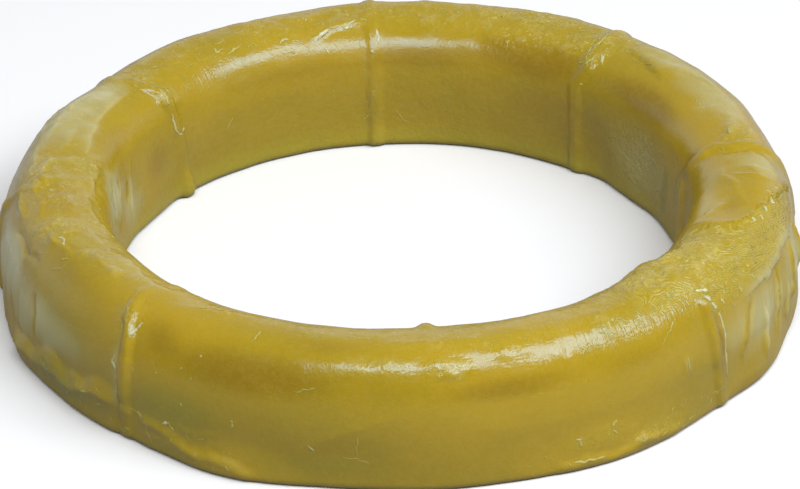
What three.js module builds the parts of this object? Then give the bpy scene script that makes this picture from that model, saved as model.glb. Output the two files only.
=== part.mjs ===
import * as THREE from "three";
import { mergeVertices } from "three/addons/utils/BufferGeometryUtils.js";
import { ParametricGeometry } from "three/addons/geometries/ParametricGeometry.js";

// Toilet pan seal: a ring of soft wax, moulded in one piece, that is squashed between the outlet of a
// closet pan and the flange of the soil pipe. Millimetres, +Z up, the ring's axis on Z and its flat
// foot on z = 0. Azimuths are in degrees, anticlockwise seen from above, with 0 at the front, on -Y.
// A place along the section is a share of its side: -1 at the inner foot, 0 on the crown, 1 at the
// outer foot.

// Section, from the bore outwards
const BORE_DIAMETER = 94.8; // at the foot, its narrowest
const BORE_DRAFT = 0.5; // the bore's wall leans back by this, from foot to shoulder
const INNER_SHOULDER_RUN = 10.3; // level distance from the bore's wall to the crown
const INNER_SHOULDER_DROP = 6.5; // from the crown down to the top of the bore's wall
const OUTER_SHOULDER_RUN = 8.3;
const OUTER_SHOULDER_DROP = 13.9;
const OUTER_WALL_HEIGHT = 8.6; // the upright stretch between the foot and the outer shoulder
const FOOT_ROUND = 1.3; // radius at both edges of the foot

// Ribs, which the gaps between the sections of the mould leave on the wax
const RIB_HEIGHT = 1.0;
const RIB_TOP_WIDTH = 1.5;
const RIB_FLANK = 0.9; // width of each sloping side
const DENT_DEPTH = 1.0; // a dent or swell of strength 1 moves the surface by this

// Facets
const FOOT_STEPS = 2;
const OUTER_WALL_STEPS = 3;
const OUTER_SHOULDER_STEPS = 10;
const INNER_SHOULDER_STEPS = 9;
const BORE_WALL_STEPS = 6;
const FIELD_STEPS = 12; // between the foot of one rib and the foot of the next

const WAX_COLOUR = "#a8962a";
const WAX_ROUGHNESS = 0.38;

const FULL_TURN = 360;
const HEIGHT = OUTER_WALL_HEIGHT + OUTER_SHOULDER_DROP;
const BORE_WALL_HEIGHT = HEIGHT - INNER_SHOULDER_DROP;
const FOOT_INNER_RADIUS = BORE_DIAMETER / 2;
const SHOULDER_INNER_RADIUS = FOOT_INNER_RADIUS + BORE_DRAFT;
const CROWN_RADIUS = SHOULDER_INNER_RADIUS + INNER_SHOULDER_RUN;
const OUTER_RADIUS = CROWN_RADIUS + OUTER_SHOULDER_RUN;
const RIB_REACH = RIB_TOP_WIDTH / 2 + RIB_FLANK; // from a rib's middle to its foot

// The eight ribs, in turn from the front. The mould's sections closed a little out of line, so a rib
// wanders by these degrees at each of RIB_PLACES, and it stands out by these shares of RIB_HEIGHT.
const RIB_PLACES = [-1, -0.45, 0, 0.5, 1];
const RIBS = [
  { wander: [0, 0, 0, -0.4, -0.8], proud: [0.8, 0.4, 0.4, 0.3, 0.2] },
  { wander: [0.5, 0, -0.5, -0.6, 1], proud: [0.8, 0.3, 0.5, 1, 0.4] },
  { wander: [1.5, 0.3, -0.8, -0.6, 0], proud: [0.8, 0.8, 0.6, 0.3, 0.3] },
  { wander: [-0.8, 3.6, 1.1, 0.4, 0], proud: [0.6, 0.9, 0.5, 0.8, 0.6] },
  { wander: [0.5, 0.5, 0.6, 0.6, 0.5], proud: [0.9, 1, 1, 1, 0.8] },
  { wander: [1.2, 3.4, 6.8, 5, 3], proud: [0.8, 0.8, 0.3, 0.3, 0.6] },
  { wander: [-1, -4.5, -5.8, -4.4, -3.6], proud: [0.7, 0.5, 0.4, 0.6, 0.8] },
  { wander: [-1.5, -2.5, -3.2, -0.9, -1.2], proud: [0.8, 0.2, 0.6, 1, 0.3] },
];

// Swells (strength over 0) and dents (under 0) where the soft wax was pushed or smeared: middle as
// azimuth and place, then how far each reaches, in degrees and as a share of the side.
const SWELLS = [
  { azimuth: 44, place: -0.22, degrees: 10, share: 0.22, strength: 1.1 }, // smear over the bore's edge
  { azimuth: 54, place: -0.12, degrees: 7, share: 0.2, strength: 0.6 },
  { azimuth: 37, place: -0.1, degrees: 6, share: 0.2, strength: 0.5 },
  { azimuth: 26, place: -0.25, degrees: 11, share: 0.3, strength: -0.25 },
  { azimuth: 359.8, place: -0.24, degrees: 2.4, share: 0.12, strength: 0.5 }, // nub at the front rib's end
  { azimuth: 332, place: 1, degrees: 13, share: 0.3, strength: 1.1 }, // skirt flared at the foot
  { azimuth: 309, place: 0.9, degrees: 14, share: 0.5, strength: -0.6 },
  { azimuth: 297, place: 0.9, degrees: 10, share: 0.4, strength: -0.5 },
  { azimuth: 350, place: 0.9, degrees: 14, share: 0.4, strength: -0.35 },
  { azimuth: 27, place: 1, degrees: 16, share: 0.4, strength: 0.8 },
  { azimuth: 57, place: 1, degrees: 11, share: 0.4, strength: 0.9 },
  { azimuth: 84, place: 0.6, degrees: 13, share: 0.5, strength: -0.7 },
  { azimuth: 68, place: -0.1, degrees: 12, share: 0.3, strength: -0.5 }, // torn patch on the crown
  { azimuth: 98, place: 0.3, degrees: 12, share: 0.35, strength: -0.7 },
  { azimuth: 146, place: 0.2, degrees: 18, share: 0.4, strength: 0.2 },
  { azimuth: 200, place: 0.2, degrees: 22, share: 0.4, strength: -0.6 },
  { azimuth: 231, place: 0.2, degrees: 17, share: 0.45, strength: -0.8 },
  { azimuth: 100, place: -0.9, degrees: 14, share: 0.4, strength: 0.4 },
  { azimuth: 118, place: -0.9, degrees: 8, share: 0.4, strength: 0.3 },
  { azimuth: 130, place: -0.9, degrees: 7, share: 0.4, strength: -0.6 },
  { azimuth: 226, place: -0.93, degrees: 3, share: 0.15, strength: 0.7 }, // nub at a rib's inner foot
  { azimuth: 238, place: -0.9, degrees: 9, share: 0.4, strength: 0.5 },
];

function line(fromRadius, fromHeight, toRadius, toHeight) {
  const from = new THREE.Vector2(fromRadius, fromHeight);
  const to = new THREE.Vector2(toRadius, toHeight);
  return new THREE.LineCurve(from, to);
}

// A quarter of an ellipse, anticlockwise, whose first quadrant is 0.
function quarter(centreRadius, centreHeight, run, drop, quadrant) {
  const start = (quadrant * Math.PI) / 2;
  return new THREE.EllipseCurve(centreRadius, centreHeight, run, drop, start, start + Math.PI / 2);
}

// The section without its flat foot, anticlockwise from the outer foot over the crown to the inner
// foot, as curves in the plane of radius and height, each with its number of facets.
const INNER_FOOT_CENTRE = FOOT_INNER_RADIUS + FOOT_ROUND;
const OUTER_SIDE = [
  { curve: quarter(OUTER_RADIUS - FOOT_ROUND, FOOT_ROUND, FOOT_ROUND, FOOT_ROUND, 3), steps: FOOT_STEPS },
  { curve: line(OUTER_RADIUS, FOOT_ROUND, OUTER_RADIUS, OUTER_WALL_HEIGHT), steps: OUTER_WALL_STEPS },
  {
    curve: quarter(CROWN_RADIUS, OUTER_WALL_HEIGHT, OUTER_SHOULDER_RUN, OUTER_SHOULDER_DROP, 0),
    steps: OUTER_SHOULDER_STEPS,
  },
];
const INNER_SIDE = [
  {
    curve: quarter(CROWN_RADIUS, BORE_WALL_HEIGHT, INNER_SHOULDER_RUN, INNER_SHOULDER_DROP, 1),
    steps: INNER_SHOULDER_STEPS,
  },
  {
    curve: line(SHOULDER_INNER_RADIUS, BORE_WALL_HEIGHT, FOOT_INNER_RADIUS, FOOT_ROUND),
    steps: BORE_WALL_STEPS,
  },
  { curve: quarter(INNER_FOOT_CENTRE, FOOT_ROUND, FOOT_ROUND, FOOT_ROUND, 2), steps: FOOT_STEPS },
];

// Points down one side: radius, height, the way relief moves the surface there, and the place along
// it. Relief moves the foot's rounds level, so that the foot stays flat on the ground.
function sidePoints(curves, placeAtStart, placeAtEnd) {
  const lengths = curves.map(({ curve }) => curve.getLength());
  const whole = lengths.reduce((sum, length) => sum + length, 0);
  const points = [];
  let before = 0;
  curves.forEach(({ curve, steps }, index) => {
    for (let step = 0; step <= steps; step += 1) {
      const share = step / steps;
      const { x: radius, y: height } = curve.getPoint(share);
      const tangent = curve.getTangent(share);
      const facing = new THREE.Vector2(tangent.y, -tangent.x);
      if (height < FOOT_ROUND) {
        facing.set(Math.sign(radius - CROWN_RADIUS), 0);
      }
      const covered = (before + share * lengths[index]) / whole;
      const place = THREE.MathUtils.lerp(placeAtStart, placeAtEnd, covered);
      if (step > 0 || index === 0) {
        points.push({ radius, height, facing, place });
      }
    }
    before += lengths[index];
  });
  return points;
}

const SECTION = [...sidePoints(OUTER_SIDE, 1, 0), ...sidePoints(INNER_SIDE, 0, -1).slice(1)];

// Stations round the ring: seven across each rib, then even steps to the next one.
const RIB_OFFSETS = [
  -RIB_REACH,
  -RIB_REACH + RIB_FLANK / 2,
  -RIB_TOP_WIDTH / 2,
  0,
  RIB_TOP_WIDTH / 2,
  RIB_REACH - RIB_FLANK / 2,
  RIB_REACH,
];
const STATIONS = RIBS.flatMap((rib, index) => [
  ...RIB_OFFSETS.map((offset) => ({ index, offset, share: 0 })),
  ...Array.from({ length: FIELD_STEPS - 1 }, (_, step) => ({
    index,
    offset: RIB_REACH,
    share: (step + 1) / FIELD_STEPS,
  })),
]);

// A rib's listed values, eased from one of RIB_PLACES to the next.
function alongRib(values, place) {
  const next = RIB_PLACES.findIndex((stop) => place <= stop) || 1;
  const share = THREE.MathUtils.smoothstep(place, RIB_PLACES[next - 1], RIB_PLACES[next]);
  return THREE.MathUtils.lerp(values[next - 1], values[next], share);
}

function ribAzimuth(index, place) {
  const nominal = (index * FULL_TURN) / RIBS.length;
  return nominal + alongRib(RIBS[index % RIBS.length].wander, place);
}

// Azimuth of a station at one point of the section. Ribs keep their width at every radius.
function stationAzimuth({ index, offset, share }, { radius, place }) {
  const here = ribAzimuth(index, place) + THREE.MathUtils.radToDeg(offset / radius);
  const next = ribAzimuth(index + 1, place) - THREE.MathUtils.radToDeg(RIB_REACH / radius);
  return THREE.MathUtils.lerp(here, next, share);
}

// Height of a rib at a level distance from its middle: flat on top, then an eased slope.
function ribRelief({ index, offset }, place) {
  const shape = 1 - THREE.MathUtils.smoothstep(Math.abs(offset), RIB_TOP_WIDTH / 2, RIB_REACH);
  return RIB_HEIGHT * alongRib(RIBS[index].proud, place) * shape;
}

// A round hump: 1 in its middle, falling smoothly to 0 at distance 1.
function hump(distance) {
  return Math.max(1 - distance * distance, 0) ** 2;
}

// The shorter way round from one azimuth to another, in degrees.
function degreesApart(from, to) {
  const halfTurn = FULL_TURN / 2;
  return THREE.MathUtils.euclideanModulo(to - from + halfTurn, FULL_TURN) - halfTurn;
}

function swellRelief(azimuth, place) {
  const strengths = SWELLS.map((swell) => {
    const round = degreesApart(swell.azimuth, azimuth) / swell.degrees;
    const along = (place - swell.place) / swell.share;
    return swell.strength * hump(Math.hypot(round, along));
  });
  return DENT_DEPTH * strengths.reduce((sum, strength) => sum + strength, 0);
}

// The whole surface: u goes round the ring and v along the section. The last step of v closes the
// section along the flat foot.
function waxSurface(u, v, target) {
  const station = STATIONS[Math.round(u * STATIONS.length) % STATIONS.length];
  const point = SECTION[Math.round(v * SECTION.length) % SECTION.length];
  const azimuth = stationAzimuth(station, point);
  const relief = ribRelief(station, point.place) + swellRelief(azimuth, point.place);
  const radius = point.radius + relief * point.facing.x;
  const turn = THREE.MathUtils.degToRad(azimuth);
  target.set(radius * Math.sin(turn), -radius * Math.cos(turn), point.height + relief * point.facing.y);
}

function waxRing() {
  const open = new ParametricGeometry(waxSurface, STATIONS.length, SECTION.length);
  open.deleteAttribute("normal");
  open.deleteAttribute("uv");
  const closed = mergeVertices(open);
  closed.computeVertexNormals();
  const wax = new THREE.MeshStandardMaterial({ color: WAX_COLOUR, roughness: WAX_ROUGHNESS, metalness: 0 });
  const ring = new THREE.Mesh(closed, wax);
  ring.name = "wax_ring";
  return ring;
}

const seal = new THREE.Group();
seal.add(waxRing());

export default seal;
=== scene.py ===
import functools
import math

import bpy
import numpy as np
from mathutils import Matrix, Vector


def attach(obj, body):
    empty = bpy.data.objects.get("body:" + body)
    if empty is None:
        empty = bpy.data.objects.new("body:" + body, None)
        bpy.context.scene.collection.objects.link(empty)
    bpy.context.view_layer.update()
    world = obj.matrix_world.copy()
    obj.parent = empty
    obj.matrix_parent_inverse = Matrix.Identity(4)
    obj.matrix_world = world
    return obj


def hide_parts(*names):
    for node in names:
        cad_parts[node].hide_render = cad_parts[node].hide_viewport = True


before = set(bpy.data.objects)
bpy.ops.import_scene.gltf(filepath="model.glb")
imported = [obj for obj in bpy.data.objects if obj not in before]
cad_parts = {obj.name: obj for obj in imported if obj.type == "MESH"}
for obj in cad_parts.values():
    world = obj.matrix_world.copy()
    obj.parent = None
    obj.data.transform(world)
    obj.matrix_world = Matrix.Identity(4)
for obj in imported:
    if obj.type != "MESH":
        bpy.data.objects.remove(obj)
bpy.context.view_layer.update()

# Toilet pan seal: one ring of soft petroleum wax, on a pale floor under one large softbox.
# The ring's own surface is worked out in millimetres, over two parameters: the azimuth in degrees,
# anticlockwise seen from above with 0 at the front on -Y, and s, the distance along the section from
# the crown, over 0 down the outside and under 0 down the bore.
NODE = "wax_ring"
MM = 0.001
FULL_TURN = 360.0

# Section, from the bore outwards
BORE_RADIUS = 47.4
BORE_DRAFT = 0.5
INNER_SHOULDER_RUN = 10.3
INNER_SHOULDER_DROP = 6.5
OUTER_SHOULDER_RUN = 8.3
OUTER_SHOULDER_DROP = 13.9
OUTER_WALL_HEIGHT = 8.6
FOOT_ROUND = 1.3
CROWN_RADIUS = BORE_RADIUS + BORE_DRAFT + INNER_SHOULDER_RUN
OUTER_RADIUS = CROWN_RADIUS + OUTER_SHOULDER_RUN
HEIGHT = OUTER_WALL_HEIGHT + OUTER_SHOULDER_DROP

# Ribs: height, width of the flat top and of each flank
RIB_HEIGHT = 0.8
RIB_TOP_WIDTH = 0.7
RIB_FLANK = 1.4
RIB_REACH = RIB_TOP_WIDTH / 2 + RIB_FLANK

# Grid: rows down the section's outer foot, outer wall, outer shoulder, inner shoulder, bore and
# inner foot, and columns across a rib and across each field between two ribs. The field with the
# torn crown has the most columns.
SECTION_ROWS = (4, 17, 34, 27, 23, 4)
RIB_COLUMNS = 12
FIELD_COLUMNS = (104, 140, 96, 96, 96, 92, 88, 96)

# Camera: the photograph's, found from the outline of the ring
CAMERA_AZIMUTH = -4.28
CAMERA_ELEVATION = 29.53
CAMERA_ROLL = -0.91
CAMERA_DISTANCE = 0.798
CAMERA_TARGET_RIGHT = -0.06
CAMERA_TARGET_HEIGHT = 6.86
SENSOR_WIDTH = 36.0
FOCAL_LENGTH = 215.2
CAMERA_CLIP = (0.01, 20.0)

# Softbox at the front right: place in metres, turn of its long side, sides in metres, power in watts,
# and a slightly cool white
LAMP_PLACE = (0.5, -0.58, 1.0)
LAMP_TURN = 17.0
LAMP_SIZE = (2.1, 0.56)
LAMP_POWER = 24.0
LAMP_COLOUR = (0.95, 0.985, 1.08)

# Floor: half its side, in metres
FLOOR_HALF = 4.0

# The eight ribs in turn from the front: how far each wanders from its eighth of the turn, as pairs of
# s and degrees, and how much of RIB_HEIGHT it stands out, as pairs of s and share
RIBS = (
    {
        "wander": ((-30, 0), (-7, -0.2), (4, 0.2), (10, 0), (20, -0.5), (27, -0.8)),
        "proud": ((-30, 0.8), (-12, 0.45), (-7, 0.4), (-4, 0.12), (3, 0.04), (27, 0.04)),
    },
    {
        "wander": ((-30, 0.5), (-10, 0), (0, -0.8), (6, -0.5), (11, -0.8), (15, -0.5), (20, 0.2), (27, 1.2)),
        "proud": ((-30, 0.8), (-12, 0.3), (0, 0.1), (4.5, 0.3), (7.5, 1), (19, 0.85), (26, 0.5)),
    },
    {
        "wander": ((-30, 3), (-19, 3), (-14, 3.4), (-11, 2), (-7, 1.2), (-2, 0), (5, 0), (27, 0)),
        "proud": ((-30, 0.8), (-12, 0.9), (-3, 0.7), (5, 0.5), (12, 0.3), (27, 0.3)),
    },
    {
        "wander": (
            (-30, 0.4), (-25, 0.8), (-17.5, 1), (-13.2, 1.4), (-8.5, -0.2), (-5, 0.5), (3, 1), (27, 0),
        ),
        "proud": (
            (-30, 0.6), (-24, 0.5), (-14, 0.5), (-8, 0.35), (-4, 0.15), (4, 0.55), (14, 0.8), (27, 0.6),
        ),
    },
    {
        "wander": ((-30, 0.5), (0, 0.6), (27, 0.5)),
        "proud": (
            (-30, 0.8), (-22, 0.5), (-14, 0.5), (-8, 0.45), (-4, 0.25), (4, 0.4), (10, 0.7), (27, 0.8),
        ),
    },
    {
        "wander": (
            (-30, 1.2), (-27, 1.3), (-20, 2.4), (-15, 3.3), (-9, 4.2), (-5, 6), (0, 7), (10, 5),
            (27, 3),
        ),
        "proud": ((-30, 0.8), (-22, 0.45), (-15, 0.6), (-8, 0.9), (-3, 0.4), (12, 0.3), (27, 0.6)),
    },
    {
        "wander": (
            (-30, -2), (-14, -2.2), (-9, -2), (-2, -0.8), (2.4, 1.2), (5.5, -0.5), (8.7, -2.2),
            (12.7, -4), (27, -3.4),
        ),
        "proud": ((-30, 0.5), (-12, 0.3), (-4, 0.15), (1, 0.3), (5, 0.6), (9, 0.8), (20, 0.9), (27, 0.8)),
    },
    {
        "wander": (
            (-30, -1.5), (-10, -2.8), (0, -3.6), (4, -2.6), (8, -1.2), (12, -0.7), (19, -0.8),
            (27, -1.2),
        ),
        "proud": ((-30, 0.8), (-13, 0.2), (-2, 0.1), (4, 0.4), (8, 1), (19, 1), (25, 0.35)),
    },
)

# Swells and dents of the soft wax: azimuth, share of the way from the crown to the foot, reach in
# degrees, reach as a share, and height in millimetres
SWELLS = (
    (44, -0.22, 10, 0.22, 1.1),
    (54, -0.12, 7, 0.2, 0.6),
    (37, -0.1, 6, 0.2, 0.5),
    (26, -0.25, 11, 0.3, -0.25),
    (359.8, -0.24, 2.8, 0.12, 0.35),
    (332, 1.0, 13, 0.3, 1.1),
    (309, 0.9, 14, 0.5, -0.6),
    (297, 0.9, 10, 0.4, -0.5),
    (350, 0.9, 14, 0.4, -0.35),
    (350, 0.2, 17, 0.2, 0.38),
    (207, -0.36, 18, 0.22, -0.4),
    (27, 1.0, 16, 0.4, 0.8),
    (57, 1.0, 11, 0.4, 0.9),
    (84, 0.6, 13, 0.5, -0.7),
    (68, -0.1, 12, 0.3, -0.5),
    (98, 0.3, 12, 0.35, -0.7),
    (146, 0.2, 18, 0.4, 0.2),
    (200, 0.2, 22, 0.4, -0.6),
    (231, 0.2, 17, 0.45, -0.8),
    (100, -0.9, 14, 0.4, 0.4),
    (118, -0.9, 8, 0.4, 0.3),
    (130, -0.9, 7, 0.4, -0.6),
    (226, -0.93, 3, 0.15, 0.7),
    (238, -0.9, 9, 0.4, 0.5),
)

# Torn crown on the right: the azimuth where it ends, as pairs of s and azimuth, the s of its outer
# side, as pairs of azimuth and s, the azimuths where it starts and of its middle, the line that its
# ripples follow, as pairs of s and azimuth, how far it lies under the smooth crown, how far apart its
# fine ripples are, and its wavelets' height and spacing
TORN_END = (
    (-12, 59), (-9, 61), (-5.6, 62.6), (-1.7, 62.6), (0.3, 63.6), (1.7, 66.2), (2.4, 70.5), (4.3, 76.2),
    (7.2, 82.5), (11, 88),
)
TORN_OUTER_SIDE = ((20, 2.5), (34, 4.5), (43, 6), (48.5, 8.4), (60, 9.6), (74, 9.3), (90, 9))
TORN_START = 33.0
TORN_MIDDLE = 68.0
RIPPLE_LINE = ((-12, 59), (0, 64), (11, 80))
TORN_DEPTH = 0.45
RIPPLE_SPACING = 0.85
WAVELET_HEIGHT = 0.07
WAVELET_SPACING = 3.4

# Lip along the torn crown's end: height, distance past the end, reach, and the s where it starts, is
# full, starts to fade and ends
TORN_LIP_HEIGHT = 0.35
TORN_LIP_PLACE = 0.5
TORN_LIP_REACH = 0.7
TORN_LIP_STOPS = (-8.0, -5.0, 8.0, 10.0)

# Softer turn at the top of the bore: how much it takes off, distance from the crown, and reach
KNEE_DEPTH = 0.4
KNEE_PLACE = 11.8
KNEE_REACH = 3.0

# Handled crown: the s of its inner and outer side, as pairs of azimuth and s, and how rough it is
HANDLED_INNER_SIDE = (
    (0, -8), (45, -9), (92, -3), (125, -3), (136, -8), (180, -7), (190, -8), (225, -6), (255, -6),
    (265, -9), (290, -9), (312, -7.5), (345, -6), (360, -8),
)
HANDLED_OUTER_SIDE = (
    (0, 3), (20, 4), (45, 6), (92, 1), (125, 2), (136, 5), (240, 4), (265, 6), (280, 5), (300, 1),
    (318, -1.5), (332, -2), (345, 0), (360, 3),
)
HANDLED_SHARE = (
    (0, 0.5), (30, 0.7), (45, 1), (60, 1), (64, 0), (91, 0), (95, 0.5), (110, 0.3), (125, 0.35),
    (136, 0.9), (180, 0.7), (240, 0.6), (255, 0.4), (264, 0.8), (290, 0.9), (305, 0.6), (325, 0.45),
    (345, 0.4), (360, 0.5),
)

# Chatter, where a blade or the wrapper left fine lines across the ring: the azimuths where it starts,
# is full, starts to fade and ends, its side, 1 outside and -1 in the bore, the same four distances
# from the crown, and its share
CHATTERED = (
    ((6, 20, 44, 50), 1, (-2.0, 1.5, 7.5, 9.5), 1.0),
    ((42, 50, 74, 82), 1, (4.0, 6.5, 9.5, 11.0), 0.35),
    ((184, 192, 220, 228), -1, (6.0, 7.5, 11.0, 13.0), 0.3),
)

# Walls that were dragged upwards, down to the foot, in the same way, and how deep the grooves are
GROOVE_DEPTH = 0.45
DRAGGED = (
    ((45, 56, 88, 99), 1, (9.5, 13.0, 40.0, 41.0), 1.0),
    ((267, 275, 291, 299), 1, (9.5, 13.0, 40.0, 41.0), 0.6),
    ((243, 248, 256, 261), -1, (11.0, 14.0, 40.0, 41.0), 1.0),
)

# Scuffed spots: azimuth, s, reach in degrees, reach in millimetres, and how rough
SCUFFS = (
    (2, 5.5, 5, 2.2, 0.9),
    (12, 3.5, 6, 2.0, 0.6),
    (351, 5.0, 9, 2.6, 0.45),
    (24, 21, 7, 2.5, 0.5),
    (33, 23.5, 7, 2.0, 0.6),
    (95, -1.5, 6, 2.5, 0.8),
    (135, -6.5, 4, 4.0, 1.0),
    (229, -9, 4, 4.0, 0.7),
    (313, 5, 4, 3.5, 0.5),
    (326, 23.5, 9, 1.5, 0.3),
    (262, -7.5, 6, 3.0, 0.6),
)

# Amber shade and olive tints: azimuth, s, reach in degrees, reach in millimetres, and the shift to
# amber, which is painted shade under the shoulders, low on the inner shoulders and on rib flanks, or
# to a darker olive if under 0
AMBER_SHADE_AND_OLIVE_TINTS = (
    (334, 8, 18, 5.5, 1.0),
    (10, 9.5, 14, 3.0, 0.8),
    (345, 2, 10, 3.0, 0.5),
    (319, 6, 5, 5.0, 0.6),
    (30, 10, 10, 3.0, 0.4),
    (322, 17, 13, 7.0, -0.75),
    (301, 22.5, 15, 5.0, -0.8),
    (299, 14, 13, 8.0, -0.5),
    (320, 26, 14, 4.0, -0.5),
    (345, 22, 14, 4.0, -0.4),
    (117, -9.5, 17, 4.5, 1.2),
    (148, -9.5, 18, 5.5, 1.3),
    (172, -12, 18, 4.0, 0.7),
    (200, -13, 22, 3.5, 0.5),
    (250, -9.5, 14, 4.0, 0.5),
    (236, -19, 7, 6.0, 0.7),
    (93, -11, 4, 5.0, 1.0),
    (104.5, -21.5, 2.6, 6.0, -1.6),
    (98, -19, 1.8, 5.0, -0.8),
    (140, -19, 19, 9.0, 0.5),
    (276, -2, 10, 7.0, 0.8),
    (254, 1, 6, 3.0, 0.4),
    (297, 4, 12, 4.0, 0.4),
    (70, -2, 5, 2.5, 0.5),
    (45.4, 14, 1.4, 9.0, 0.9),
    (53, 25, 10, 2.5, 0.7),
)

# Pale bloom where the skin dried or was rubbed, together with painted reflections and highlights on
# the walls and shoulders and painted light on some shaded rib flanks and bore walls: azimuth, s, reach
# in degrees, reach in millimetres, and amount
BLOOM_AND_REFLECTION_SPOTS = (
    (84, 1.5, 8, 9, 0.7),
    (72, -6.5, 8, 4, 0.5),
    (76.5, -1.6, 7, 3.8, -1.1),
    (90, -2, 2.2, 9, -0.9),
    (22, 5.2, 12, 2.4, 0.35),
    (208, -9, 12, 2.2, 0.4),
    (276, -1, 10, 7, -0.8),
    (296, 3, 12, 5, -0.6),
    (54, 14.5, 13, 8.5, 0.8),
    (45.6, 16, 1.5, 9, -0.8),
    (104.5, -21.5, 2.6, 6, -1.0),
    (108, -0.5, 18, 6, 0.8),
    (124, 0.5, 10, 4.5, 0.45),
    (246, 1.5, 17, 6.5, 0.85),
    (236, -1, 7, 4.5, 0.8),
    (262, 5, 9, 5, 0.4),
    (292, 14, 22, 7, 1.0),
    (279, 11, 9, 6, 1.2),
    (261, -16, 10, 9, 1.5),
    (248, -22, 7, 7, 0.9),
    (254, -17, 6, 9, 0.4),
    (62, 16, 8, 9, 0.45),
    (73, 15, 9, 9, 1.4),
    (181.7, -17, 1.3, 12, 0.3),
    (300, -4, 7, 4, 0.5),
    (114, -21, 20, 10, 0.7),
    (276, 14, 9, 8, 1.2),
    (287, 20, 6, 5, 0.4),
    (171, 2, 6, 2.5, 0.5),
    (197, 1.5, 9, 2.5, 0.5),
    (222, 1, 7, 3, 0.4),
)
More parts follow.
